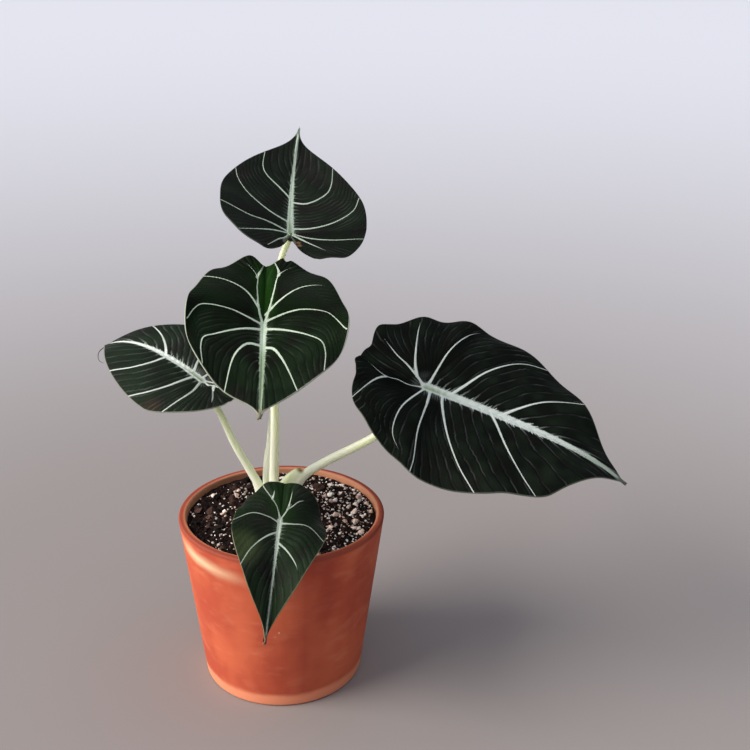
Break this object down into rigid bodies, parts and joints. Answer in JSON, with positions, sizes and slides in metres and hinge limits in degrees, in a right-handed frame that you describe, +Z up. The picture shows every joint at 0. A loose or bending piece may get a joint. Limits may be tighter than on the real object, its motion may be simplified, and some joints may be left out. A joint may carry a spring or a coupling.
{
  "type": "potted alocasia",
  "caption": "Black-velvet alocasia houseplant: arrow-shaped dark leaves with pale veins on fleshy stalks, in a plain tapered terracotta pot.",
  "frame": {"origin": "centre of the pot's flat underside, on the surface the pot stands on", "axes": "+Z up; -Y towards the viewer of the picture, +X to the right as seen from there"},
  "size_m": [0.2941, 0.1946, 0.3104],
  "materials": {
    "terracotta": "matte",
    "potting_mix": "matte",
    "crown_skin": "matte",
    "leaf_stalk": "satin",
    "leaf_velvet": "matte"
  },
  "bodies": {
    "root": {"pot": "terracotta", "soil": "potting_mix", "crown": "crown_skin", "stalk_top": "leaf_stalk", "stalk_middle": "leaf_stalk", "stalk_left": "leaf_stalk", "stalk_right": "leaf_stalk", "stalk_front": "leaf_stalk", "blade_top": "leaf_velvet", "blade_middle": "leaf_velvet", "blade_left": "leaf_velvet", "blade_right": "leaf_velvet", "blade_front": "leaf_velvet"}
  },
  "joints": []
}
